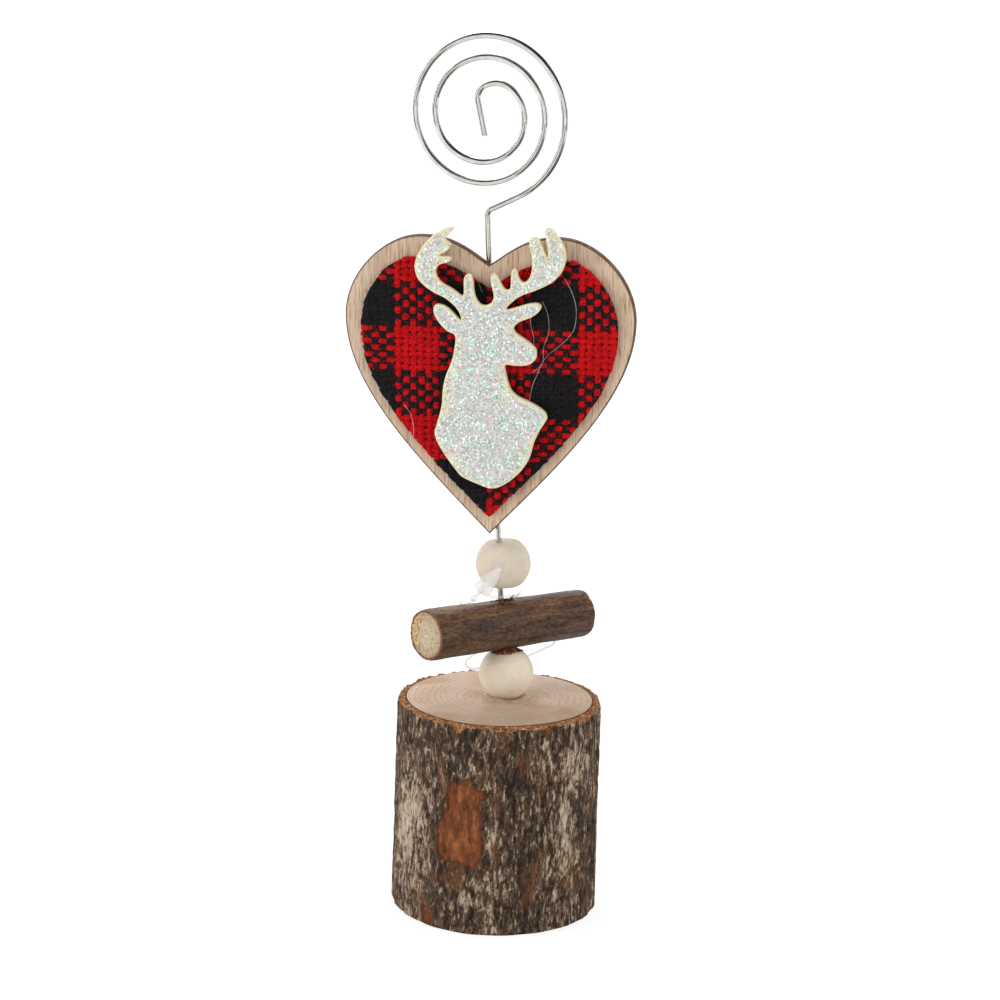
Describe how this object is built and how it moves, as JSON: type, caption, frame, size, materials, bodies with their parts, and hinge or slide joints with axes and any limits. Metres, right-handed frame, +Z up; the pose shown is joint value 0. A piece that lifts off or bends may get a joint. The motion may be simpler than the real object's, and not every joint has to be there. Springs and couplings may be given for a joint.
{
  "type": "memo clip holder",
  "caption": "Free-standing memo holder: a sprung wire spiral on a leaning stem, rising from a bark-covered log foot with turned beads, a loose twig and a heart plaque with a stag.",
  "frame": {"origin": "centre of the log's flat foot, on the standing surface", "axes": "+Z up along the log, the heart plaque faces -Y, +X to the right as seen from the front"},
  "size_m": [0.0731, 0.0525, 0.2239],
  "materials": {
    "end_grain": "sawn, unfinished",
    "log_bark": "rough bark with lichen",
    "bare_wood": "turned, unfinished",
    "plywood": "sanded face, burnt laser-cut edge",
    "twig_bark": "thin bark",
    "plated_wire": "bright nickel plate",
    "woven_wool": "red and black plain weave",
    "glitter_foam": "soft foam with white iridescent glitter",
    "hot_melt": "clear hot-melt glue",
    "clear_plastic": "clear polypropylene"
  },
  "bodies": {
    "base": {"log_core": "end_grain", "log_bark": "log_bark", "base_glue": "hot_melt", "lower_bead": "bare_wood", "upper_bead": "bare_wood", "upper_bead_glue": "hot_melt", "clip_stem": "plated_wire", "heart_plaque": "plywood", "plaid_patch": "woven_wool", "stag_cutout": "glitter_foam", "stag_glue_upper": "hot_melt", "stag_glue_lower": "hot_melt", "wire_glue_lower": "hot_melt", "wire_glue_upper": "hot_melt"},
    "twig": {"twig_core": "end_grain", "twig_bark": "twig_bark", "tag_loop": "clear_plastic", "tag_lock": "clear_plastic", "tag_head": "clear_plastic"},
    "clip": {"clip_coil": "plated_wire"}
  },
  "joints": [
    {"name": "twig_swivel", "type": "hinge", "parent": "base", "child": "twig", "pos_m": [-0.00011, 0.001, 0.07414], "axis": [-0.0628, 0, 0.998], "continuous": true},
    {"name": "clip_flex", "type": "hinge", "parent": "base", "child": "clip", "pos_m": [-0.02588, 0.00364, 0.20252], "axis": [0.1079, -0.0068, -0.9941], "range_deg": [-10, 10], "stiffness_Nm_per_rad": 0.4}
  ]
}
